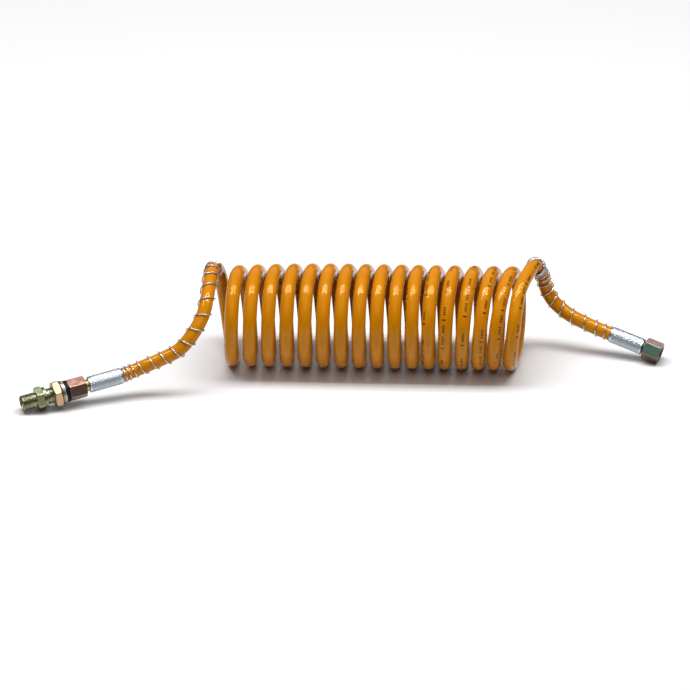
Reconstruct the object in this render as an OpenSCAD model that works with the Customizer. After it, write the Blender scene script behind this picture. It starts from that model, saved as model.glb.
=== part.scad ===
// Coiled hose assembly for hydraulic or air lines: one length of plastic hose wound into
// a recoil coil, a wire spring guard and a crimped ferrule at each end, swivel nuts on
// 24 degree cone nipples, and a bulkhead fitting with its lock nut on the left end.

/* [Hose] */
// Outer diameter of the hose
hose_d = 12; // [11.9:0.05:12]
// Bore of the hose
hose_bore = 9; // [8.8:0.1:9]
// Radius of the coil at the middle of the hose
coil_r = 39.7; // [39.4:0.1:39.7]
// Left end of the coil's closed part
coil_left = -101; // [-104:0.5:-100]
// Right end of the coil's closed part
coil_right = 158.5; // [154:0.5:158.5]

/* [Crimped ends] */
// Outer diameter of a crimped ferrule
ferrule_d = 14.2; // [13.8:0.1:15]
// Length of a ferrule
ferrule_len = 31; // [30:0.5:34]
// Diameter of the nipple's neck, between the ferrule and the nut
neck_d = 10; // [9.6:0.1:10.4]
// Length of the neck that shows
neck_len = 2.5; // [1.5:0.1:3]
// Bore through the nipple
nipple_bore = 6; // [5:0.1:6.4]

/* [Swivel nuts] */
// Width of a swivel nut across its flats
nut_af = 17; // [17:0.5:19]
// Length of a swivel nut
nut_len = 15.5; // [15.5:0.1:16.5]
// Distance that the right nut has slid back towards its ferrule
right_nut_slip = 1.5; // [0:0.1:1.5]
// Outer diameter of the screw thread, which stands as a plain cylinder
thread_d = 13.8; // [13.6:0.05:13.9]
// Gap all round between a thread or neck and the nut that turns on it
running_gap = 0.05; // [0.03:0.01:0.08]

/* [Bulkhead fitting] */
// Thickness of the rubber seal ring
seal_t = 3.3; // [2.5:0.1:3.5]
// Thickness of the spring lock washer
lock_washer_t = 1.8; // [1.5:0.1:2]
// Thickness of the flat washer
flat_washer_t = 1.5; // [1.2:0.1:1.6]
// Width of the panel lock nut across its flats
lock_nut_af = 21; // [19:0.5:22]
// Thickness of the panel lock nut
lock_nut_t = 7.5; // [7:0.1:8]
// Free thread between the lock nut and the shoulder, where the panel goes
panel_gap = 6; // [5:0.1:7]
// Thickness of the round shoulder that bears on the panel
shoulder_t = 2.8; // [2:0.1:3.2]
// Width of the hexagonal collar across its flats
collar_af = 19; // [18:0.5:19]
// Thickness of the hexagonal collar
collar_t = 6.2; // [5:0.1:6.5]
// Length of the free threaded end
barrel_len = 13.5; // [13:0.5:16]

/* [Spring guards] */
// Diameter of the spring wire
wire_d = 1.1; // [0.9:0.1:1.2]
// Radius of the spring at the middle of its wire
spring_r = 6.9; // [6.7:0.05:7.1]

/* [Hidden] */
$fn = 64;

// The middle of the assembly's outline on the floor, which is moved to the origin
middle = [4.5, -30.1];

amber = "#d08a1e";
zinc = "#c3ccd2";
rainbow_zinc = "#a98a80";
olive_zinc = "#8b8a62";
pale_zinc = "#d9bd94";

// Where each ferrule's open end is, and the way its fitting points from there
left_mouth = [-185.5, -72, 21.9];
left_plan = 199;
left_dip = 8.5;
right_mouth = [235, 22, 20.5];
right_plan = -16.5;
right_dip = 15;

// The hose's route from each ferrule to the coil
left_route = [
    left_mouth, [-174.5, -67, 24.5], [-163, -65.5, 29.5], [-150, -63.5, 35],
    [-136.5, -60.5, 42], [-126, -54.5, 53], [-117.5, -44.5, 65.5], [-114, -32, 76],
    [-112, -10, 84], [-110, 9.5, 84.5], [-106.5, 28, 73.5], [-102.5, 39.5, 45.5],
    [-97.5, 28, 17.5], [-93.5, 0, 6]
];
right_route = [
    right_mouth, [223, 25, 24.2], [212.5, 28, 27.8], [202, 32, 31.5], [194, 36.5, 35],
    [185, 39.5, 42.5], [179, 40.5, 53], [175, 36, 70], [168.5, 19.5, 87],
    [162, 0, 87.5], [156, -18.5, 81], [152.8, -34.5, 65.5], [150.6, -39.5, 45.5],
    [148.7, -34.5, 26]
];

// Distances of the spring's turns along the hose from the ferrule, and the radius at the
// start of each: the turns are open along the hose and close up at both ends, and the
// right spring's last turn stands off the hose
left_turns = [0.8, 4, 9, 17, 27.5, 38, 49, 61, 74, 88, 102.5, 117, 130, 140.5, 147,
    150.6, 152.2];
left_radii = [for (k = left_turns) spring_r];
right_turns = [0.8, 6, 15, 26, 38.5, 50.5, 62, 73, 82, 90, 97, 102, 105, 106.6, 108.2,
    109.8, 113];
loose_from = 109;
loose_by = 1.3;
right_radii = [for (k = right_turns) k > loose_from ? spring_r + loose_by : spring_r];

// Facets round the hose and the wire, and steps along the curve and along each turn
hose_sides = 12;
wire_sides = 6;
curve_steps = 3;
turn_steps = 14;

// Positions along a fitting, from its ferrule's open end
lip_t = 2.5;
lip = ferrule_len - lip_t;
nut_back = ferrule_len + neck_len;
nut_wall = 3.4;
seat = nut_back + nut_wall;
flange_t = 2.2;
cone_start = seat + 0.1 + flange_t;
cone_len = 4.2;
cone_r = 6.2;
cone_angle = 12;
relief_end = cone_start + cone_len + 0.2 + right_nut_slip;
nut_front = nut_back + nut_len;
seal_at = nut_front + 0.1;
lock_washer_at = seal_at + seal_t;
flat_washer_at = lock_washer_at + lock_washer_t;
lock_nut_at = flat_washer_at + flat_washer_t + 0.1;
shoulder_at = lock_nut_at + lock_nut_t + panel_gap;
collar_at = shoulder_at + shoulder_t;
barrel_at = collar_at + collar_t;
free_end = barrel_at + barrel_len;
shank_end = cone_start + 0.3;

hose_r = hose_d / 2;
crimped_r = hose_r - 0.3;
thread_r = thread_d / 2;
neck_r = neck_d / 2;
hole_r = thread_r + running_gap;
washer_gap = 0.1;
left_nut_roll = 13;
right_nut_roll = 28;
lock_nut_roll = -3;
collar_roll = 16;
coil_axis_z = coil_r + hose_r;

// ---- Curves ----

function unit(v) = v / norm(v);

// A smooth curve through b and c, at t from 0 to 1, where a and d are their neighbours
function between(a, b, c, d, t) =
    0.5 * (2 * b + (c - a) * t + (2 * a - 5 * b + 4 * c - d) * t * t
        + (3 * b - a - 3 * c + d) * t * t * t);

// The curve along a route, which leaves its first point in the direction away
function curve(p, away) = concat(
    [p[0], p[0] + away],
    [
        for (i = [0:len(p) - 2], k = [0:curve_steps - 1])
            if (i + k > 0)
                between(i == 0 ? p[0] - 10 * away : p[i - 1], p[i], p[i + 1],
                    p[min(i + 2, len(p) - 1)], k / curve_steps)
    ],
    [p[len(p) - 1]]
);

function tangents(p) = [
    for (i = [0:len(p) - 1]) unit(p[min(i + 1, len(p) - 1)] - p[max(i - 1, 0)])
];

// The part of v that is square to the direction t
function square_to(v, t) = unit(v - (v * t) * t);

// One direction square to the curve at each point, turning as little as it can
function normals(t) = [
    for (i = 0, n = square_to([0, 0.1, 1], t[0]); i < len(t);
        i = i + 1, n = i < len(t) ? square_to(n, t[i]) : n) n
];

// The distance along the curve of each of its points
function reaches(p) = [
    for (i = 0, s = 0; i < len(p);
        i = i + 1, s = i < len(p) ? s + norm(p[i] - p[i - 1]) : s) s
];

// A value that goes with each point of a curve, at the distance s along it
function at_reach(values, reach, s) = [
    for (a = [0:2]) lookup(s, [for (i = [0:len(reach) - 1]) [reach[i], values[i][a]]])
];

// The direction in which a fitting points
function aim(plan, dip) = [cos(dip) * cos(plan), cos(dip) * sin(plan), -sin(dip)];

// ---- Shapes that repeat ----

// A closed tube swept along the points p
module swept(p, r, sides) {
    t = tangents(p);
    n = normals(t);
    last = len(p) - 1;
    corners = [
        for (i = [0:last], k = [0:sides - 1])
            p[i] + r * (cos(360 * k / sides) * n[i] + sin(360 * k / sides) * cross(t[i], n[i]))
    ];
    near = [for (k = [0:sides - 1]) k];
    far = [for (k = [0:sides - 1]) (last + 1) * sides - 1 - k];
    walls = [
        for (i = [0:last - 1], k = [0:sides - 1], half = [0, 1])
            let (a = i * sides + k, b = i * sides + (k + 1) % sides)
            half == 0 ? [a, a + sides, b + sides] : [a, b + sides, b]
    ];
    polyhedron(points = corners, faces = concat([near, far], walls));
}

// The wire of a spring guard, wound round the curve c
module spring_guard(c, turns, radii) {
    t = tangents(c);
    n = normals(t);
    reach = reaches(c);
    wire = [
        for (k = [0:len(turns) - 2], m = [0:turn_steps - 1])
            let (
                part = m / turn_steps,
                s = turns[k] + (turns[k + 1] - turns[k]) * part,
                r = radii[k] + (radii[k + 1] - radii[k]) * part,
                along = unit(at_reach(t, reach, s)),
                up = square_to(at_reach(n, reach, s), along)
            )
            at_reach(c, reach, s) + r * (cos(360 * part) * up + sin(360 * part) * cross(along, up))
    ];
    swept(wire, wire_d / 2, wire_sides);
}

// Puts a fitting, drawn upwards from its ferrule's open end, at a mouth
module at_mouth(mouth, plan, dip) {
    translate(mouth) rotate([0, 0, plan]) rotate([0, 90 + dip, 0]) children();
}

module at_left() {
    at_mouth(left_mouth, left_plan, left_dip) children();
}

module at_right() {
    at_mouth(right_mouth, right_plan, right_dip) children();
}

// A hexagonal prism from z to z + h, with its corners turned off at both ends
module hexagon(af, z, h, roll) {
    corner = af / sqrt(3);
    bevel = 0.9;
    intersection() {
        translate([0, 0, z]) rotate(roll) cylinder(r = corner, h = h, $fn = 6);
        rotate_extrude() polygon([
            [0, z], [corner - 1.6 * bevel, z], [corner + 0.01, z + bevel],
            [corner + 0.01, z + h - bevel], [corner - 1.6 * bevel, z + h], [0, z + h]
        ]);
    }
}

// A ring from z to z + h
module ring(inner, outer, z, h) {
    translate([0, 0, z]) difference() {
        cylinder(r = outer, h = h);
        translate([0, 0, -1]) cylinder(r = inner, h = h + 2);
    }
}

module ferrule() {
    edge = 0.5;
    outer_r = ferrule_d / 2;
    rotate_extrude() polygon([
        [crimped_r, 0], [outer_r - edge, 0], [outer_r, edge],
        [outer_r, ferrule_len - edge], [outer_r - edge, ferrule_len],
        [neck_r, ferrule_len], [neck_r, lip], [crimped_r, lip]
    ]);
}

// The barbed stem, neck, flange and cone that the nut pulls on to its seat
module nipple() {
    barb = 0.25;
    stem_r = hose_bore / 2;
    tip = 4;
    barbs = 5;
    barb_step = (lip - 1 - tip) / barbs;
    cone_end_r = cone_r - cone_len * tan(cone_angle);
    outline = concat(
        [[nipple_bore / 2, tip], [stem_r - 0.4, tip]],
        [
            for (k = [0:barbs - 1], edge = [0, 1])
                [stem_r + edge * barb, tip + (k + 0.05 + 0.9 * edge) * barb_step]
        ],
        [
            [stem_r, lip - 1], [stem_r, lip - 0.5], [neck_r, lip - 0.5], [neck_r, seat + 0.1],
            [cone_r + 0.4, seat + 0.1], [cone_r + 0.4, cone_start], [cone_r, cone_start],
            [cone_end_r, cone_start + cone_len], [nipple_bore / 2, cone_start + cone_len]
        ]
    );
    groove_r = 4;
    groove_at = cone_start + 1.4;
    groove_len = 1.6;
    difference() {
        rotate_extrude() polygon(outline);
        ring(groove_r, cone_r + 1, groove_at, groove_len);
    }
}

module nipple_o_ring() {
    ring_r = 0.75;
    up_cone = 2.2;
    middle_r = cone_r - up_cone * tan(cone_angle) - ring_r - 0.05;
    translate([0, 0, cone_start + up_cone]) rotate_extrude() translate([middle_r, 0])
        circle(r = ring_r, $fn = 32);
}

// A nut with a hole for the neck in its back wall, a relief round the flange and the cone,
// the thread's cylinder, and a chamfer at its mouth
module swivel_nut(roll) {
    relief_r = hole_r + 0.25;
    chamfer = 0.6;
    difference() {
        hexagon(nut_af, nut_back, nut_len, roll);
        translate([0, 0, nut_back - 1]) cylinder(r = neck_r + running_gap, h = nut_wall + 2);
        translate([0, 0, seat]) cylinder(r = relief_r, h = relief_end - seat);
        translate([0, 0, relief_end - 0.01]) cylinder(r = hole_r, h = nut_front - relief_end + 1);
        translate([0, 0, nut_front - chamfer])
            cylinder(r1 = hole_r, r2 = hole_r + chamfer, h = chamfer + 0.01);
    }
}

// The curve of the hose from each ferrule's mouth to the coil
left_curve = curve(left_route, -aim(left_plan, left_dip));
right_curve = curve(right_route, -aim(right_plan, right_dip));

// ---- Sub-parts ----

// The outer shape of the closed coil, with the space inside its turns
module hose_coil() {
    color(amber) translate([coil_left, 0, coil_axis_z]) rotate([0, 90, 0])
        ring(coil_r - hose_r, coil_r + hose_r, 0, coil_right - coil_left);
}

// The hose inside a ferrule, drawn in the fitting's frame
module crimped_hose() {
    overlap = 1;
    ring(hose_bore / 2, crimped_r, -overlap, lip - 0.5 + overlap);
}

module hose_tail_left() {
    color(amber) {
        difference() {
            swept(left_curve, hose_r, hose_sides);
            translate([coil_left, -100, -100]) cube(200);
        }
        at_left() crimped_hose();
    }
}

module hose_tail_right() {
    color(amber) {
        difference() {
            swept(right_curve, hose_r, hose_sides);
            translate([coil_right - 200, -100, -100]) cube(200);
        }
        at_right() crimped_hose();
    }
}

module left_spring_guard() {
    color(zinc) spring_guard(left_curve, left_turns, left_radii);
}

module right_spring_guard() {
    color(zinc) spring_guard(right_curve, right_turns, right_radii);
}

module left_ferrule() {
    color(zinc) at_left() ferrule();
}

module right_ferrule() {
    color(zinc) at_right() ferrule();
}

module left_nipple() {
    color(pale_zinc) at_left() nipple();
}

module right_nipple() {
    color(pale_zinc) at_right() nipple();
}

module left_nipple_o_ring() {
    color("black") at_left() nipple_o_ring();
}

module right_nipple_o_ring() {
    color("black") at_right() nipple_o_ring();
}

module left_swivel_nut() {
    color(rainbow_zinc) at_left() swivel_nut(left_nut_roll);
}

module right_swivel_nut() {
    color(rainbow_zinc) at_right() translate([0, 0, -right_nut_slip])
        swivel_nut(right_nut_roll);
}

module rubber_seal_ring() {
    seal_r = 9.4;
    edge = 0.5;
    color("black") at_left() rotate_extrude() polygon([
        [hole_r, seal_at], [seal_r - edge, seal_at], [seal_r, seal_at + edge],
        [seal_r, seal_at + seal_t - edge], [seal_r - edge, seal_at + seal_t],
        [hole_r, seal_at + seal_t]
    ]);
}

// A spring washer, split on the side away from the floor
module lock_washer() {
    outer_r = 9.7;
    split = 1.2;
    color(zinc) at_left() difference() {
        ring(hole_r + washer_gap, outer_r, lock_washer_at, lock_washer_t);
        translate([-outer_r - 1, -split / 2, lock_washer_at - 1])
            cube([outer_r - hole_r + 3, split, lock_washer_t + 2]);
    }
}

module flat_washer() {
    outer_r = 10.3;
    color(pale_zinc) at_left()
        ring(hole_r + washer_gap, outer_r, flat_washer_at, flat_washer_t);
}

module panel_lock_nut() {
    color(pale_zinc) at_left() difference() {
        hexagon(lock_nut_af, lock_nut_at, lock_nut_t, lock_nut_roll);
        translate([0, 0, lock_nut_at - 1]) cylinder(r = hole_r, h = lock_nut_t + 2);
    }
}

// Threaded shank with its cone seat, panel shoulder, hexagonal collar and free end
module bulkhead_body() {
    groove_r = thread_r - 0.8;
    groove_len = 1.5;
    chamfer = 1;
    shoulder_r = 9;
    shank_len = shoulder_at - groove_len - shank_end;
    seat_len = 6;
    seat_r = cone_r + 0.15;
    mouth_r = 5.8;
    narrowing = seat_len * tan(cone_angle);
    color(olive_zinc) at_left() difference() {
        union() {
            translate([0, 0, shank_end]) cylinder(r = thread_r, h = shank_len);
            translate([0, 0, shoulder_at - groove_len]) cylinder(r = groove_r, h = groove_len);
            translate([0, 0, shoulder_at]) cylinder(r = shoulder_r, h = shoulder_t);
            hexagon(collar_af, collar_at, collar_t, collar_roll);
            translate([0, 0, barrel_at]) cylinder(r = groove_r, h = groove_len);
            translate([0, 0, barrel_at + groove_len])
                cylinder(r = thread_r, h = barrel_len - groove_len - chamfer);
            translate([0, 0, free_end - chamfer])
                cylinder(r1 = thread_r, r2 = thread_r - chamfer, h = chamfer);
        }
        translate([0, 0, shank_end - 0.01])
            cylinder(r1 = seat_r, r2 = seat_r - narrowing, h = seat_len);
        translate([0, 0, free_end - seat_len + 0.01])
            cylinder(r1 = mouth_r - narrowing, r2 = mouth_r, h = seat_len);
        translate([0, 0, shank_end + 1]) cylinder(r = nipple_bore / 2, h = free_end - shank_end - 2);
    }
}

// ---- The assembly ----

translate([-middle.x, -middle.y, 0]) {
    hose_coil();
    hose_tail_left();
    hose_tail_right();
    left_spring_guard();
    right_spring_guard();
    left_ferrule();
    right_ferrule();
    left_nipple();
    right_nipple();
    left_nipple_o_ring();
    right_nipple_o_ring();
    left_swivel_nut();
    right_swivel_nut();
    rubber_seal_ring();
    lock_washer();
    flat_washer();
    panel_lock_nut();
    bulkhead_body();
}
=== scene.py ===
"""A coiled hydraulic hose assembly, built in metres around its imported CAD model."""
import math

import bpy
import numpy as np
from mathutils import Matrix, Vector


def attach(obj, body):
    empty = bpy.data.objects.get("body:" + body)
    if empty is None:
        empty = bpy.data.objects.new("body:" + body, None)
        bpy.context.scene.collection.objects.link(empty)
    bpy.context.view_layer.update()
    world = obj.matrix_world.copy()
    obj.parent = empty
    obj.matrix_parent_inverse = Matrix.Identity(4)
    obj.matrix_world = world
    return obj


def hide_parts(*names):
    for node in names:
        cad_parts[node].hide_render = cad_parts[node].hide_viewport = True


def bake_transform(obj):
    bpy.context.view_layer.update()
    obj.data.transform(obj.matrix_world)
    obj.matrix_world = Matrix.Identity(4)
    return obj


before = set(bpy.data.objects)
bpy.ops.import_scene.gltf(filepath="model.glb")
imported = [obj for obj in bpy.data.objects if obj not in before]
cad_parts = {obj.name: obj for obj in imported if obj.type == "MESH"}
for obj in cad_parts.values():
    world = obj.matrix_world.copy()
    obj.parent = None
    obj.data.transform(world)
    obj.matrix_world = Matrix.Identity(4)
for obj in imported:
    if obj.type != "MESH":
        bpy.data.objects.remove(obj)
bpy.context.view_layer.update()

MM = 0.001
TAU = 2 * math.pi
scene = bpy.context.scene
scene.view_settings.view_transform = "Standard"

# ---- Camera ----

VIEW_AZIMUTH, VIEW_ELEVATION = 2.0, 28.0
VIEW_DISTANCE, VIEW_WIDTH = 9.0, 0.600
VIEW_CENTRE = Vector((0.0, 0.0300, 0.0170))


def make_camera():
    a, e = math.radians(VIEW_AZIMUTH), math.radians(VIEW_ELEVATION)
    back = Vector((math.sin(a) * math.cos(e), -math.cos(a) * math.cos(e), math.sin(e)))
    data = bpy.data.cameras.new("camera")
    data.sensor_width = 36
    data.lens = data.sensor_width * VIEW_DISTANCE / VIEW_WIDTH
    data.clip_start, data.clip_end = 0.05, 60
    camera = bpy.data.objects.new("camera", data)
    scene.collection.objects.link(camera)
    camera.rotation_mode = "QUATERNION"
    camera.location = VIEW_CENTRE + back * VIEW_DISTANCE
    camera.rotation_quaternion = (-back).to_track_quat("-Z", "Y")
    scene.camera = camera


make_camera()

# ---- The hose's route, in millimetres ----
#
# Both tails repeat part.scad's points, and the coil's turns follow from coil_point. MIDDLE
# is the part's origin in the route's own axes.

MIDDLE = np.array([4.5, -30.1, 0.0])
LEFT_PLAN, LEFT_DIP = 199.0, 8.5
RIGHT_PLAN, RIGHT_DIP = -16.5, 15.0
LEFT_ROUTE = np.array([
    [-185.5, -72, 21.9], [-174.5, -67, 24.5], [-163, -65.5, 29.5], [-150, -63.5, 35],
    [-136.5, -60.5, 42], [-126, -54.5, 53], [-117.5, -44.5, 65.5], [-114, -32, 76],
    [-112, -10, 84], [-110, 9.5, 84.5], [-106.5, 28, 73.5], [-102.5, 39.5, 45.5],
    [-97.5, 28, 17.5], [-93.5, 0, 6],
]) - MIDDLE
RIGHT_ROUTE = np.array([
    [235, 22, 20.5], [223, 25, 24.2], [212.5, 28, 27.8], [202, 32, 31.5], [194, 36.5, 35],
    [185, 39.5, 42.5], [179, 40.5, 53], [175, 36, 70], [168.5, 19.5, 87], [162, 0, 87.5],
    [156, -18.5, 81], [152.8, -34.5, 65.5], [150.6, -39.5, 45.5], [148.7, -34.5, 26],
]) - MIDDLE
HOSE_R, COIL_R = 6.0, 39.7
IN_FERRULE = 4.0  # how far the hose goes into each ferrule
COIL_START, COIL_END = 0.5, 16.667
COIL_X, COIL_PITCH, COIL_CLOSING = -103.6, 16.11, -0.039
TIGHT, TIGHT_UNTIL = 1.5, 7.0  # the radius lost at turn 1, and the turn where none is
LEAN_LEFT, LEAN_RIGHT = 0.035, 0.16
SWAY_LEFT, SWAY_RIGHT, SWAY_FROM = -2.3, 2.1, 11.0
NUDGES = [(-1.3, 9.8, 15.0), (1.8, 16.0, 16.7)]  # amount, first turn, last turn
POINTS_PER_TURN, STEPS_PER_POINT = 12, 6
BEYOND = 10.0  # how far past a tail's end its curve aims


def aim(plan, dip):
    """The direction in which a fitting points away from the hose."""
    p, d = math.radians(plan), math.radians(dip)
    return np.array([math.cos(d) * math.cos(p), math.cos(d) * math.sin(p), -math.sin(d)])


LEFT_AIM, RIGHT_AIM = aim(LEFT_PLAN, LEFT_DIP), aim(RIGHT_PLAN, RIGHT_DIP)


def coil_point(turn):
    """A point of the coil, where a whole turn is at its top. The first turns are a little
    tighter than the rest. The tops sway to the left of the bottoms, and near the right end
    to the right of them. The backs lean to the right of the fronts, most at the right end.
    NUDGES move some turns along."""
    angle = TAU * (turn + 0.25)
    radius = COIL_R - TIGHT * max(0, 1 - (turn - 1) / (TIGHT_UNTIL - 1)) ** 2
    share = min(1, max(0, (turn - SWAY_FROM) / (COIL_END - SWAY_FROM)))
    sway = SWAY_LEFT + (SWAY_RIGHT - SWAY_LEFT) * share
    lean = LEAN_LEFT + (LEAN_RIGHT - LEAN_LEFT) * share**2
    y = -radius * math.cos(angle)
    x = (COIL_X + COIL_PITCH * turn + COIL_CLOSING * turn**2 + lean * y
         + sway * math.sin(angle))
    for amount, first, last in NUDGES:
        past = min(1, max(0, (turn - first) / (last - first)))
        x += amount * math.sin(math.pi * past) ** 2
    return np.array([x, y, HOSE_R + radius * (1 + math.sin(angle))]) - MIDDLE


def smooth(points, steps, before, after):
    """A curve through points, where before and after are its ends' outer neighbours."""
    p = np.vstack([before, points, after])
    t = (np.arange(steps) / steps)[:, None]
    spans = [
        0.5 * (2 * b + (c - a) * t + (2 * a - 5 * b + 4 * c - d) * t**2
               + (3 * b - a - 3 * c + d) * t**3)
        for a, b, c, d in zip(p, p[1:], p[2:], p[3:])
    ]
    return np.vstack(spans + [points[-1:]])


def unit(v):
    return v / np.linalg.norm(v, axis=-1, keepdims=True)


def frames(points):
    """For each point of a curve: its distance along, its direction, and two square to it
    that turn as little as they can."""
    along = np.concatenate([[0], np.cumsum(np.linalg.norm(np.diff(points, axis=0), axis=1))])
    tangent = unit(np.gradient(points, along, axis=0))
    normal = np.empty_like(tangent)
    n = np.array([0, 0.1, 1.0])
    for i, t in enumerate(tangent):
        n = unit(n - (n @ t) * t)
        normal[i] = n
    return along, tangent, normal, np.cross(tangent, normal)


turns = np.arange(COIL_START, COIL_END - 0.5 / POINTS_PER_TURN, 1 / POINTS_PER_TURN)[1:]
helix = np.array([coil_point(turn) for turn in turns])
hose_path = smooth(
    np.vstack([LEFT_ROUTE, helix, RIGHT_ROUTE[::-1]]), STEPS_PER_POINT,
    LEFT_ROUTE[0] + BEYOND * LEFT_AIM, RIGHT_ROUTE[0] + BEYOND * RIGHT_AIM,
)
inner_left = [LEFT_ROUTE[0] + k * LEFT_AIM for k in (IN_FERRULE, IN_FERRULE / 2)]
inner_right = [RIGHT_ROUTE[0] + k * RIGHT_AIM for k in (IN_FERRULE / 2, IN_FERRULE)]
hose_path = np.vstack([inner_left, hose_path, inner_right])
hose_along, hose_tangent, hose_normal, hose_side = frames(hose_path)

# ---- Building blocks ----


def mesh_object(name, vertices, faces):
    """A smooth mesh object whose vertices are given in millimetres."""
    mesh = bpy.data.meshes.new(name)
    mesh.from_pydata((np.asarray(vertices) * MM).tolist(), [], [list(f) for f in faces])
    mesh.polygons.foreach_set("use_smooth", [True] * len(mesh.polygons))
    mesh.update()
    obj = bpy.data.objects.new(name, mesh)
    scene.collection.objects.link(obj)
    return obj


def grid_faces(rows, sides, closed):
    """Quads over a grid of rows of points, round each row and, if closed, back to row 0."""
    faces = []
    for i in range(rows if closed else rows - 1):
        a, b = i * sides, (i + 1) % rows * sides
        for j in range(sides):
            k = (j + 1) % sides
            faces.append((a + j, a + k, b + k, b + j))
    return faces


def tube(name, points, tangent, normal, side, radius, sides):
    """A tube with closed ends. Its UV is the distance along, in metres, and the share
    of a turn round."""
    angle = np.arange(sides) * TAU / sides
    ring = (np.cos(angle)[None, :, None] * normal[:, None]
            + np.sin(angle)[None, :, None] * side[:, None])
    vertices = (points[:, None] + radius * ring).reshape(-1, 3)
    faces = grid_faces(len(points), sides, False)
    last = (len(points) - 1) * sides
    faces += [tuple(reversed(range(sides))), tuple(range(last, last + sides))]
    obj = mesh_object(name, vertices, faces)
    along = np.concatenate([[0], np.cumsum(np.linalg.norm(np.diff(points, axis=0), axis=1))])
    layer = obj.data.uv_layers.new(name="hose")
    uv = []
    for polygon in obj.data.polygons:
        is_quad = len(polygon.vertices) == 4
        wraps = is_quad and any(v % sides == sides - 1 for v in polygon.vertices)
        for v in polygon.vertices:
            around = v % sides
            if wraps and around == 0:
                around = sides
            uv += [along[v // sides] * MM, around / sides]
    layer.data.foreach_set("uv", uv)
    return obj


def fitting_matrix(mouth, plan, dip):
    """Puts a piece drawn upwards from its ferrule's open end at that ferrule."""
    return (Matrix.Translation(Vector(mouth) * MM)
            @ Matrix.Rotation(math.radians(plan), 4, "Z")
            @ Matrix.Rotation(math.radians(90 + dip), 4, "Y"))


AT_LEFT = fitting_matrix(LEFT_ROUTE[0], LEFT_PLAN, LEFT_DIP)
AT_RIGHT = fitting_matrix(RIGHT_ROUTE[0], RIGHT_PLAN, RIGHT_DIP)


def outline(corners, fillet, step):
    """A closed loop of (radius, height) with its corners rounded and no gap over step. A
    third number in a corner is used instead of step on the way to the next corner."""
    place = np.array([c[:2] for c in corners], float)
    gaps = [c[2] if len(c) > 2 else step for c in corners]
    count = len(place)
    loop = []
    for i in range(count):
        to_last, to_next = place[i - 1] - place[i], place[(i + 1) % count] - place[i]
        long_last, long_next = np.linalg.norm(to_last), np.linalg.norm(to_next)
        cut = min(fillet, 0.45 * long_last, 0.45 * long_next)
        a, b = place[i] + to_last / long_last * cut, place[i] + to_next / long_next * cut
        for t in (0, 0.25, 0.5, 0.75, 1):
            p = (1 - t) ** 2 * a + 2 * t * (1 - t) * place[i] + t * t * b
            loop.append((p, gaps[i] if t == 1 else 1.0))
    fine = []
    for (a, gap), (b, _) in zip(loop, loop[1:] + loop[:1]):
        parts = max(1, math.ceil(np.linalg.norm(b - a) / gap))
        fine += [a + (b - a) * k / parts for k in range(parts)]
    return np.array(fine)


HEX_SHARPNESS, HEX_CORNER = 70, 0.035


def hex_wall(theta, flats, roll):
    """The radius of a hexagon with slightly rounded corners, and how near each corner is."""
    faces = np.radians(roll + 30 + 60 * np.arange(6))
    cosines = np.clip(np.cos(theta[:, None] - faces), 0, None)
    wall = flats / 2 / (cosines**HEX_SHARPNESS).sum(axis=1) ** (1 / HEX_SHARPNESS)
    top = np.sort(cosines, axis=1)
    return wall, np.clip(1 - (top[:, -1] - top[:, -2]) / HEX_CORNER, 0, 1)


WORN_EDGE, TINTED_DEPTH, SOFT_JOIN = 0.3, 1.2, 0.08


def turned(name, body, at, loop, sides, hexes=(), cuts=(), tints=None, arc=None):
    """A piece of revolution about a fitting's axis, as a closed mesh.
    hexes are (flats, roll, start, end), and tints has a number for each of a hexagon's
    faces; cuts take (radius, height, angle) to a new radius; arc is the (first, last)
    angle of an open ring."""
    if arc:
        theta = np.linspace(arc[0], arc[1], sides)
    else:
        theta = np.arange(sides) * TAU / sides
    z = np.repeat(loop[:, 1:], sides, axis=1)
    r = np.repeat(loop[:, :1], sides, axis=1)
    tint = np.full(r.shape, 0.5)
    wear = np.zeros(r.shape)
    uncut = r
    for cut in cuts:
        r = cut(r, z, theta[None, :])
    depth = np.abs(uncut - r)
    for flats, roll, start, end in hexes:
        wall, corner = hex_wall(theta, flats, roll)
        inside = (z > start - 0.01) & (z < end + 0.01)
        limited = -SOFT_JOIN * np.logaddexp(-r / SOFT_JOIN, -wall[None, :] / SOFT_JOIN)
        on_wall = inside & (r > wall - WORN_EDGE)
        edge = 1 - np.abs(r - wall) / WORN_EDGE
        wear = np.where(on_wall, np.maximum(corner[None, :] * (r > wall), edge), wear)
        face = np.floor((np.degrees(theta) - roll) % 360 / 60).astype(int) % 6
        if tints:
            on_face = inside & (r > flats / 2 - TINTED_DEPTH)
            tint = np.where(on_face, np.array(tints)[face][None, :], tint)
        r = np.where(inside, limited, r)
    vertices = np.stack([r * np.cos(theta), r * np.sin(theta), z], axis=2).reshape(-1, 3)
    rows = len(loop)
    if arc:
        faces = []
        for i in range(rows):
            a, b = i * sides, (i + 1) % rows * sides
            faces += [(a + j, a + j + 1, b + j + 1, b + j) for j in range(sides - 1)]
        faces += [tuple(i * sides for i in range(rows)),
                  tuple(i * sides + sides - 1 for i in reversed(range(rows)))]
    else:
        faces = grid_faces(rows, sides, True)
    obj = mesh_object(name, vertices, faces)
    for label, values in (("tint", tint), ("wear", np.clip(wear, 0, 1)), ("depth", depth)):
        attribute = obj.data.attributes.new(label, "FLOAT", "POINT")
        attribute.data.foreach_set("value", values.astype(np.float32).ravel())
    obj.matrix_world = at
    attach(obj, body)
    return obj


PITCH = 1.5


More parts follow.
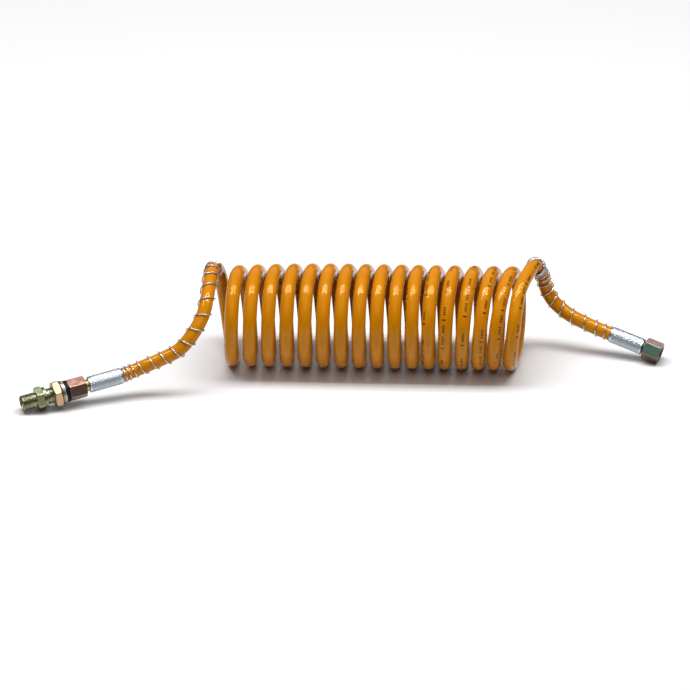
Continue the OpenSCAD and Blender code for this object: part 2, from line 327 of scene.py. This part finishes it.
def thread(start, end, crest, depth, inside=False):
    """A cut that turns a screw thread into a cylinder of radius crest."""
    def cut(r, z, theta):
        wave = np.abs((z / PITCH - theta / TAU) % 1 - 0.5) * 2
        groove = np.clip(1.25 * (1 - wave) - 0.12, 0, 1)
        fade = np.clip((z - start) / PITCH, 0, 1) * np.clip((end - z) / PITCH, 0, 1)
        near = np.abs(r - crest) < 0.06
        change = depth * groove * fade
        return np.where(near, r + change if inside else r - change, r)
    return cut


def knurl(start, end, crest, depth, ridges, slope):
    """A cut that leaves crossed diagonal ridges on a cylinder of radius crest."""
    def cut(r, z, theta):
        drift = z * slope / (TAU * crest) * ridges
        first = np.abs((ridges * theta / TAU + drift) % 1 - 0.5) * 2
        second = np.abs((ridges * theta / TAU - drift) % 1 - 0.5) * 2
        groove = np.clip(1.35 * np.maximum(first, second) - 0.3, 0, 1)
        fade = np.clip((z - start) / 0.6, 0, 1) * np.clip((end - z) / 0.6, 0, 1)
        near = np.abs(r - crest) < 0.05
        return np.where(near, r - depth * groove * fade, r)
    return cut


# ---- Materials ----


class Graph:
    """A material's nodes, made by short calls that return their output sockets."""

    def __init__(self, name):
        self.material = bpy.data.materials.new(name)
        self.material.use_nodes = True
        self.tree = self.material.node_tree
        self.shader = self.tree.nodes["Principled BSDF"]

    def node(self, kind, inputs=None, **settings):
        node = self.tree.nodes.new(kind)
        for key, value in settings.items():
            setattr(node, key, value)
        for key, value in (inputs or {}).items():
            self.put(node.inputs[key], value)
        return node

    def put(self, socket, value):
        if isinstance(value, bpy.types.NodeSocket):
            self.tree.links.new(value, socket)
        else:
            socket.default_value = value

    def set(self, **values):
        for key, value in values.items():
            self.put(self.shader.inputs[key.replace("_", " ")], value)

    def math(self, operation, *values):
        node = self.tree.nodes.new("ShaderNodeMath")
        node.operation = operation
        for i, value in enumerate(values):
            self.put(node.inputs[i], value)
        return node.outputs[0]

    def spread(self, value, low, high, new_low, new_high):
        inputs = {0: value, 1: low, 2: high, 3: new_low, 4: new_high}
        return self.node("ShaderNodeMapRange", inputs).outputs[0]

    def place(self):
        return self.node("ShaderNodeTexCoord").outputs["Object"]

    def stretched(self, scale):
        node = self.node("ShaderNodeMapping", {"Vector": self.place()})
        node.inputs["Scale"].default_value = scale
        return node.outputs["Vector"]

    def noise(self, scale, detail=2.0, rough=0.5, vector=None):
        inputs = {"Vector": vector or self.place(), "Scale": scale, "Detail": detail,
                  "Roughness": rough}
        return self.node("ShaderNodeTexNoise", inputs).outputs["Fac"]

    def attribute(self, name):
        return self.node("ShaderNodeAttribute", attribute_name=name).outputs["Fac"]

    def ramp(self, value, stops):
        node = self.node("ShaderNodeValToRGB", {"Fac": value})
        elements = node.color_ramp.elements
        while len(elements) < len(stops):
            elements.new(0.5)
        for element, (position, colour) in zip(elements, stops):
            element.position = position
            element.color = (*colour, 1)
        return node.outputs["Color"]

    def mix(self, factor, a, b):
        node = self.node("ShaderNodeMix", data_type="RGBA")
        for key, value in ((0, factor), (6, a), (7, b)):
            if isinstance(value, tuple):
                value = (*value, 1)
            self.put(node.inputs[key], value)
        return node.outputs[2]

    def bump(self, height, distance, strength=1.0):
        inputs = {"Height": height, "Distance": distance, "Strength": strength}
        self.set(Normal=self.node("ShaderNodeBump", inputs).outputs["Normal"])


PRINT_TURN, PRINT_FOLLOWS = 13.3, 0.15
TICK_EVERY, STROKE_EVERY = 23.0, 1.7


def outward(turn):
    """How far along the hose a point of the coil is, and which share of a turn round the
    hose faces away from the coil's middle there."""
    target = coil_point(turn)
    i = int(np.argmin(np.linalg.norm(hose_path - target, axis=1)))
    out = unit(target - np.array([target[0], -MIDDLE[1], HOSE_R + COIL_R]))
    return hose_along[i], math.atan2(out @ hose_side[i], out @ hose_normal[i]) / TAU


def print_line():
    """The printed line's share of a turn at the hose's start, and its twist per mm: it
    faces outwards at PRINT_TURN and follows a part of the outward side's drift."""
    (before, low), (here, share), (after, high) = [outward(PRINT_TURN + k) for k in (-1, 0, 1)]
    drift = ((high - low + 0.5) % 1 - 0.5) / (after - before)
    twist = PRINT_FOLLOWS * drift
    return share - twist * here, twist


def hose_material():
    """Amber plastic with a worn line of plain printed ticks and dashes along it."""
    g = Graph("amber_hose")
    uv = g.node("ShaderNodeUVMap", uv_map="hose").outputs["UV"]
    split = g.node("ShaderNodeSeparateXYZ", {"Vector": uv})
    along, around = split.outputs["X"], split.outputs["Y"]
    mm_along = g.math("MULTIPLY", along, 1000)
    start, twist = print_line()
    line = g.math("ADD", g.math("MULTIPLY", mm_along, twist), start - 0.5)
    centred = g.math("SUBTRACT", g.math("FRACT", g.math("SUBTRACT", around, line)), 0.5)
    across = g.math("ABSOLUTE", g.math("MULTIPLY", centred, TAU * HOSE_R))

    def repeat(period):
        return g.math("FRACT", g.math("DIVIDE", mm_along, period))

    def within(value, low, high, soft):
        rise = g.spread(value, low - soft, low + soft, 0, 1)
        fall = g.spread(value, high - soft, high + soft, 1, 0)
        return g.math("MULTIPLY", rise, fall)

    tick = g.math("MULTIPLY", within(repeat(TICK_EVERY), 0.475, 0.525, 0.01),
                  g.spread(across, 1.5, 1.8, 1, 0))
    strokes = g.math("MULTIPLY", within(repeat(STROKE_EVERY), 0.16, 0.78, 0.08),
                     g.spread(across, 1.0, 1.25, 1, 0))
    group = g.math("MAXIMUM", within(repeat(TICK_EVERY), 0.64, 0.94, 0.01),
                   within(repeat(3 * TICK_EVERY), 0.02, 0.11, 0.004))
    strokes = g.math("MULTIPLY", strokes, group)
    worn = g.spread(g.noise(90, 3, 0.6), 0.3, 0.5, 0.75, 1)
    ink = g.math("MULTIPLY", g.math("MAXIMUM", tick, strokes), worn)
    cloud = g.noise(28, 3, 0.55)
    amber = g.ramp(cloud, [(0.3, (0.49, 0.170, 0.001)), (0.7, (0.565, 0.206, 0.002))])
    fine = g.noise(420, 2, 0.5)
    amber = g.mix(g.spread(fine, 0.35, 0.75, 0, 0.2), amber, (0.42, 0.12, 0.001))
    g.set(Base_Color=g.mix(g.math("MULTIPLY", ink, 0.97), amber, (0.012, 0.008, 0.004)))
    g.set(Roughness=g.spread(g.noise(60, 4, 0.6), 0.3, 0.7, 0.035, 0.07))
    g.set(IOR=1.47, Specular_Tint=(1.0, 0.85, 0.35, 1))
    g.set(Subsurface_Weight=0.12, Subsurface_Scale=0.004)
    g.shader.inputs["Subsurface Radius"].default_value = (1.0, 0.35, 0.08)
    ripple = g.noise(9, 1, 0.4)
    scuff = g.noise(600, 2, 0.6)
    g.bump(g.math("ADD", ripple, g.math("MULTIPLY", scuff, 0.004)), 0.0006, 0.2)
    return g.material


GRAIN_HEIGHT = 0.00003


def metal(name, low, high, rough, grain, deep=0):
    """Plain plated steel with soft colour changes and a fine grain. deep is the depth in
    millimetres at which cuts are fully darkened with painted shade, if any are."""
    g = Graph(name)
    cloud = g.noise(110, 4, 0.6)
    colour = g.ramp(cloud, [(0.3, low), (0.7, high)])
    if deep:
        # Painted shade: cuts darken with their depth, standing in for the shade inside the
        # grooves.
        groove_shade = g.spread(g.attribute("depth"), 0.2 * deep, deep, 0, 0.85)
        colour = g.mix(groove_shade, colour, tuple(0.3 * c for c in low))
    speck = g.noise(grain, 3, 0.6)
    specked = g.spread(speck, 0.5, 0.8, 0, 0.35)
    g.set(Base_Color=g.mix(specked, colour, tuple(0.6 * c for c in low)))
    g.set(Metallic=1.0, Roughness=g.spread(speck, 0.3, 0.7, rough - 0.07, rough + 0.1))
    g.bump(g.math("ADD", speck, g.noise(260, 2, 0.5)), GRAIN_HEIGHT, 0.6)
    return g.material


def passivated(name, stops, rough, drift):
    """Zinc with a yellow chromate film: its colour runs with each face's tint, and the
    edges are worn paler."""
    g = Graph(name)
    cloud = g.noise(130, 4, 0.62)
    shade = g.math("ADD", g.attribute("tint"), g.spread(cloud, 0.25, 0.75, -drift, drift))
    colour = g.ramp(shade, stops)
    grain = g.noise(1400, 3, 0.6, g.stretched((1, 1, 0.25)))
    wear = g.math("MULTIPLY", g.attribute("wear"), g.spread(grain, 0.35, 0.65, 0.15, 0.8))
    colour = g.mix(wear, colour, (0.45, 0.42, 0.33))
    g.set(Base_Color=g.mix(g.spread(grain, 0.5, 0.8, 0, 0.3), colour, (0.12, 0.09, 0.05)))
    patch = g.noise(300, 3, 0.6)
    g.set(Metallic=1.0, Roughness=g.spread(patch, 0.3, 0.7, rough - 0.08, rough + 0.1))
    g.bump(g.math("ADD", grain, g.noise(320, 2, 0.5)), GRAIN_HEIGHT, 0.6)
    return g.material


def rubber_material():
    g = Graph("seal_rubber")
    grain = g.noise(1800, 3, 0.6)
    g.set(Base_Color=g.ramp(grain, [(0.3, (0.002, 0.002, 0.002)), (0.75, (0.008, 0.008, 0.008))]))
    g.set(Roughness=g.spread(grain, 0.3, 0.7, 0.38, 0.55), Specular_IOR_Level=0.15)
    g.bump(grain, 0.00004, 0.5)
    return g.material


RAINBOW = [
    (0.00, (0.50, 0.42, 0.27)), (0.20, (0.78, 0.50, 0.47)), (0.38, (0.33, 0.17, 0.135)),
    (0.52, (0.20, 0.095, 0.085)), (0.64, (0.12, 0.085, 0.06)), (0.80, (0.15, 0.19, 0.12)),
    (1.00, (0.15, 0.29, 0.22)),
]
CREAM = [
    (0.00, (0.33, 0.28, 0.185)), (0.25, (0.46, 0.36, 0.23)), (0.50, (0.58, 0.36, 0.22)),
    (0.75, (0.42, 0.37, 0.20)), (1.00, (0.22, 0.26, 0.14)),
]
OLIVE = [
    (0.00, (0.60, 0.58, 0.30)), (0.30, (0.34, 0.41, 0.25)), (0.55, (0.21, 0.20, 0.115)),
    (0.78, (0.18, 0.16, 0.085)), (1.00, (0.08, 0.085, 0.045)),
]

# ---- The hose, one tube from the left ferrule to the right one ----

HOSE_SIDES = 28
hose = tube("hose", hose_path, hose_tangent, hose_normal, hose_side, HOSE_R, HOSE_SIDES)
hose.data.materials.append(hose_material())
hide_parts("hose_coil", "hose_tail_left", "hose_tail_right")


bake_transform(hose)

# ---- Spring guards ----

LEFT_TURNS = [0.8, 4, 9, 17, 27.5, 38, 49, 61, 74, 88, 102.5, 117, 130, 140.5, 147, 150.6,
              152.2]
RIGHT_TURNS = [0.8, 6, 15, 26, 38.5, 50.5, 62, 73, 82, 90, 97, 102, 105, 106.6, 108.2, 109.8,
               113]
SPRING_R, WIRE_R, LOOSE_TURN, LOOSE_FROM = 6.9, 0.55, 1.3, 109
STEPS_PER_TURN, WIRE_SIDES = 40, 10


def spring(name, body, route, direction, marks, loose, node):
    """A wire wound round the hose's tail. marks are the distances along the tail, in
    millimetres, where each turn starts. A loose spring's turns past LOOSE_FROM are wider."""
    line = smooth(route, 8, route[0] + BEYOND * direction, route[-1])
    along, tangent, normal, side = frames(line)
    radii = [SPRING_R + (LOOSE_TURN if loose and k > LOOSE_FROM else 0) for k in marks]
    turn = np.arange((len(marks) - 1) * STEPS_PER_TURN + 1) / STEPS_PER_TURN
    place = np.interp(turn, range(len(marks)), marks)
    radius = np.interp(turn, range(len(marks)), radii)[:, None]

    def at(values):
        return np.stack([np.interp(place, along, values[:, k]) for k in range(3)], 1)

    forward = unit(at(tangent))
    up = at(normal)
    up = unit(up - (up * forward).sum(1, keepdims=True) * forward)
    angle = (TAU * turn)[:, None]
    wire = at(line) + radius * (np.cos(angle) * up + np.sin(angle) * np.cross(forward, up))
    obj = tube(name, wire, *frames(wire)[1:], WIRE_R, WIRE_SIDES)
    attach(obj, body)
    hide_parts(node)
    obj.data.materials.append(wire_steel)
    return obj


wire_steel = metal("spring_wire_steel", (0.50, 0.51, 0.52), (0.66, 0.67, 0.68), 0.22, 1500)
left_spring = spring("spring_guard_left", "coil_and_left_end", LEFT_ROUTE, LEFT_AIM,
                     LEFT_TURNS, False, "left_spring_guard")
right_spring = spring("spring_guard_right", "right_end", RIGHT_ROUTE, RIGHT_AIM,
                      RIGHT_TURNS, True, "right_spring_guard")

# ---- Ferrules ----

FERRULE_R, FERRULE_BORE_R, FERRULE_END, NECK_R, NECK_START = 7.1, 6.06, 31.0, 5.0, 29.0
RIM_R, RIM_DEPTH = 6.35, 0.85
KNURL, KNURL_RIDGES, KNURL_SLOPE, KNURL_START, KNURL_END = 0.24, 32, 0.62, 1.9, 29.6
# The ferrule's knurl grooves get painted shade from their depth.
ferrule_zinc = metal("ferrule_zinc", (0.54, 0.60, 0.64), (0.66, 0.72, 0.76), 0.28, 1100,
                     deep=KNURL)


def mouth(r, z, theta):
    """A cut that steps the ferrule's open end in, down to a narrow rim round the hose."""
    return np.where(z < RIM_DEPTH, np.minimum(r, RIM_R), r)


def ferrule(name, body, at, node):
    neck = NECK_R + 0.02
    loop = outline([
        (FERRULE_BORE_R, 0.0), (6.8, 0.0), (6.8, 0.9), (FERRULE_R, 1.2),
        (FERRULE_R, KNURL_START, 0.26),
        (FERRULE_R, KNURL_END), (FERRULE_R, 30.3), (6.3, FERRULE_END),
        (neck, FERRULE_END), (neck, NECK_START, 3), (FERRULE_BORE_R, NECK_START, 3),
    ], 0.18, 0.6)
    ridges = knurl(KNURL_START, KNURL_END, FERRULE_R, KNURL, KNURL_RIDGES, KNURL_SLOPE)
    obj = turned(name, body, at, loop, 240, cuts=[ridges, mouth])
    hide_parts(node)
    obj.data.materials.append(ferrule_zinc)
    return obj


ferrule("ferrule_left", "coil_and_left_end", AT_LEFT, "left_ferrule")
right_ferrule = ferrule("ferrule_right", "right_end", AT_RIGHT, "right_ferrule")

# ---- Swivel nuts ----

NUT_AF, NUT_BACK, NUT_FRONT, SEAT, RELIEF_END = 17.0, 33.5, 49.0, 36.9, 45.1
RIGHT_NUT_SLIP = 1.5
THREAD_R, THREAD_DEPTH, HOLE_R = 6.9, 0.4, 6.95
FINE = 0.19  # the gap between an outline's points along a thread


def hex_corner(flats):
    return flats / math.sqrt(3)


def swivel_nut(name, body, at, roll, tints, node):
    corner = hex_corner(NUT_AF)
    back_bevel, front_bevel = 1.1, 0.8
    neck, relief = NECK_R + 0.05, HOLE_R + 0.25
    loop = outline([
        (neck, NUT_BACK), (corner - 1.7 * back_bevel, NUT_BACK, 0.2),
        (corner + 0.05, NUT_BACK + back_bevel, 1.0), (corner + 0.05, NUT_FRONT - front_bevel, 0.2),
        (corner - 1.6 * front_bevel, NUT_FRONT), (HOLE_R + 0.6, NUT_FRONT),
        (HOLE_R, NUT_FRONT - 0.6, FINE), (HOLE_R, RELIEF_END), (relief, RELIEF_END, 3),
        (relief, SEAT, 3), (neck, SEAT, 3),
    ], 0.2, 0.8)
    inner_thread = thread(RELIEF_END, NUT_FRONT - 0.3, HOLE_R, THREAD_DEPTH, inside=True)
    obj = turned(name, body, at, loop, 180, hexes=[(NUT_AF, roll, NUT_BACK, NUT_FRONT)],
                 cuts=[inner_thread], tints=tints)
    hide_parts(node)
    obj.data.materials.append(rainbow)
    return obj


rainbow = passivated("rainbow_zinc", RAINBOW, 0.34, 0.14)
swivel_nut("swivel_nut_left", "left_nut", AT_LEFT, 13,
           [0.08, 0.60, 0.38, 0.45, 0.7, 0.55], "left_swivel_nut")
right_nut = swivel_nut("swivel_nut_right", "right_nut",
                       AT_RIGHT @ Matrix.Translation((0, 0, -RIGHT_NUT_SLIP * MM)), 28,
                       [0.5, 0.7, 0.2, 0.97, 0.58, 0.6], "right_swivel_nut")

# ---- Seal ring, washers and lock nut ----

SEAL, LOCK_WASHER, FLAT_WASHER, LOCK_NUT = (49.1, 52.4), (52.4, 54.2), (54.2, 55.7), (55.8, 63.3)
LOCK_NUT_AF = 21.0


def ring(name, inner, outer, span, sides, fillet, slot, material, node, arc=None):
    low, high = span
    loop = outline([(inner, low, 3), (outer, low), (outer, high), (inner, high, 3)], fillet, 0.5)
    obj = turned(name, "panel_seals", AT_LEFT, loop, sides, arc=arc)
    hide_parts(node)
    obj.data.materials.append(material)
    return obj


seal_rubber = rubber_material()
washer_zinc = metal("washer_zinc", (0.34, 0.35, 0.36), (0.46, 0.47, 0.48), 0.32, 1300)
pink_zinc = metal("pink_zinc", (0.34, 0.22, 0.16), (0.46, 0.33, 0.23), 0.34, 1200)
ring("seal_ring", HOLE_R, 9.4, SEAL, 120, 0.7, "seal_rubber", seal_rubber, "rubber_seal_ring")
SPLIT = 0.62 / 8.3  # half the lock washer's gap over its middle radius
ring("spring_washer", HOLE_R + 0.1, 9.7, LOCK_WASHER, 150, 0.25, "zinc", washer_zinc,
     "lock_washer", arc=(-math.pi + SPLIT, math.pi - SPLIT))
ring("plain_washer", HOLE_R + 0.1, 10.3, FLAT_WASHER, 150, 0.35, "pale_zinc", pink_zinc,
     "flat_washer")


def lock_nut():
    corner = hex_corner(LOCK_NUT_AF)
    low, high = LOCK_NUT
    bevel = 1.5
    loop = outline([
        (HOLE_R + 0.5, low), (corner - 1.9 * bevel, low, 0.2),
        (corner + 0.05, low + bevel, 0.5), (corner + 0.05, high - bevel, 0.2),
        (corner - 1.9 * bevel, high), (HOLE_R + 0.5, high), (HOLE_R, high - 0.6, 3),
        (HOLE_R, low + 0.6),
    ], 0.3, 0.8)
    obj = turned("lock_nut_hex", "lock_nut", AT_LEFT, loop, 180,
                 hexes=[(LOCK_NUT_AF, -3, low, high)],
                 tints=[0.85, 0.5, 0.03, 0.3, 0.5, 0.7])
    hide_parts("panel_lock_nut")
    obj.data.materials.append(passivated("cream_zinc", CREAM, 0.40, 0.12))


lock_nut()

# ---- Bulkhead body ----

SHANK_START, SHOULDER, COLLAR, BARREL, FREE_END = 39.5, 69.3, 72.1, 78.3, 91.8
SHOULDER_R, COLLAR_AF, GROOVE, GROOVE_R = 9.0, 19.0, 1.5, 6.1
BORE_R, SEAT_R, MOUTH_R, SEAT_LEN = 3.0, 6.35, 5.8, 6.0
FREE_THREAD_DEPTH = 0.34


def bulkhead():
    corner = hex_corner(COLLAR_AF)
    narrow = SEAT_LEN * math.tan(math.radians(12))
    bevel = 1.0
    loop = outline([
        (SEAT_R, SHANK_START), (THREAD_R, SHANK_START, FINE),
        (THREAD_R, SHOULDER - GROOVE), (GROOVE_R, SHOULDER - GROOVE), (GROOVE_R, SHOULDER),
        (SHOULDER_R, SHOULDER), (SHOULDER_R, COLLAR), (corner - 1.6 * bevel, COLLAR, 0.2),
        (corner + 0.05, COLLAR + bevel, 0.5), (corner + 0.05, BARREL - bevel, 0.2),
        (corner - 1.6 * bevel, BARREL), (GROOVE_R, BARREL), (GROOVE_R, BARREL + GROOVE),
        (THREAD_R, BARREL + GROOVE, FINE), (THREAD_R, FREE_END - 1),
        (THREAD_R - 0.9, FREE_END), (MOUTH_R, FREE_END),
        (MOUTH_R - narrow, FREE_END - SEAT_LEN, 3), (BORE_R, FREE_END - SEAT_LEN - 1.5, 5),
        (BORE_R, SHANK_START + SEAT_LEN + 1.5, 3), (SEAT_R - narrow, SHANK_START + SEAT_LEN, 3),
    ], 0.2, 0.7)
    obj = turned("bulkhead_fitting", "bulkhead", AT_LEFT, loop, 168,
                 hexes=[(COLLAR_AF, 16, COLLAR, BARREL)],
                 cuts=[thread(SHANK_START, SHOULDER - GROOVE, THREAD_R, THREAD_DEPTH),
                       thread(BARREL + GROOVE, FREE_END - 0.8, THREAD_R, FREE_THREAD_DEPTH)],
                 tints=[0.9, 0.0, 0.3, 0.5, 0.6, 0.8])
    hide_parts("bulkhead_body")
    obj.data.materials.append(passivated("olive_zinc", OLIVE, 0.3, 0.2))


bulkhead()

# ---- CAD pieces that keep their shape ----

gold_zinc = metal("gold_zinc", (0.46, 0.33, 0.11), (0.58, 0.44, 0.18), 0.28, 1300)
# Painted shade: a darkened copy of the gold zinc for the right nipple, which sits in shade in the
# narrow gap between its ferrule and nut.
shaded_gold_zinc = metal("shaded_gold_zinc", (0.10, 0.08, 0.05), (0.16, 0.13, 0.08), 0.36, 1300)
for node, finish in (("left_nipple", gold_zinc), ("right_nipple", shaded_gold_zinc),
                     ("left_nipple_o_ring", seal_rubber), ("right_nipple_o_ring", seal_rubber)):
    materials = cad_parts[node].data.materials
    materials.clear()
    materials.append(finish)

# ---- Floor and lights ----


def make_floor():
    half = 7.0
    mesh = bpy.data.meshes.new("floor")
    mesh.from_pydata([(-half, -half, 0), (half, -half, 0), (half, half, 0), (-half, half, 0)],
                     [], [(0, 1, 2, 3)])
    floor = bpy.data.objects.new("floor", mesh)
    scene.collection.objects.link(floor)
    g = Graph("white_floor")
    g.set(Base_Color=(0.75, 0.75, 0.755, 1), Specular_IOR_Level=0.12)
    g.set(Roughness=g.spread(g.noise(3, 2, 0.5), 0.3, 0.7, 0.12, 0.17))
    mesh.materials.append(g.material)


def area_light(name, place, target, size, power):
    data = bpy.data.lights.new(name, "AREA")
    data.shape = "RECTANGLE"
    data.size, data.size_y = size
    data.energy = power
    light = bpy.data.objects.new(name, data)
    scene.collection.objects.link(light)
    light.location = place
    light.rotation_mode = "QUATERNION"
    light.rotation_quaternion = (Vector(target) - Vector(place)).to_track_quat("-Z", "Y")


def make_world():
    """A pale room that is darker near the horizon."""
    world = bpy.data.worlds.new("studio")
    scene.world = world
    world.use_nodes = True
    tree = world.node_tree
    background = tree.nodes["Background"]
    place = tree.nodes.new("ShaderNodeTexCoord")
    split = tree.nodes.new("ShaderNodeSeparateXYZ")
    ramp = tree.nodes.new("ShaderNodeValToRGB")
    tree.links.new(place.outputs["Generated"], split.inputs[0])
    tree.links.new(split.outputs["Z"], ramp.inputs["Fac"])
    tree.links.new(ramp.outputs["Color"], background.inputs["Color"])
    stops = [(0.0, 0.02), (0.25, 0.04), (0.6, 0.2), (0.85, 0.55), (1.0, 0.9)]
    elements = ramp.color_ramp.elements
    while len(elements) < len(stops):
        elements.new(0.5)
    for element, (position, level) in zip(elements, stops):
        element.position = position
        element.color = (level, level, level * 1.02, 1)
    background.inputs["Strength"].default_value = 1.0


make_floor()
make_world()
STRIP_HEIGHT, STRIP_GAP, STRIP_SIZE, STRIP_POWER = 1.7, 0.228, (2.6, 0.05), 15
COIL_CENTRE = (0, 0, 0.05)
for k in (-1, 0, 1):
    y = k * STRIP_GAP
    area_light(f"strip_{k + 1}", (0, y, STRIP_HEIGHT), (0, y, 0), STRIP_SIZE, STRIP_POWER)
area_light("front", (0, -1.9, 2.1), COIL_CENTRE, (2.6, 0.9), 5)
area_light("backdrop", (0, 2.6, 1.4), COIL_CENTRE, (4.0, 1.2), 6)
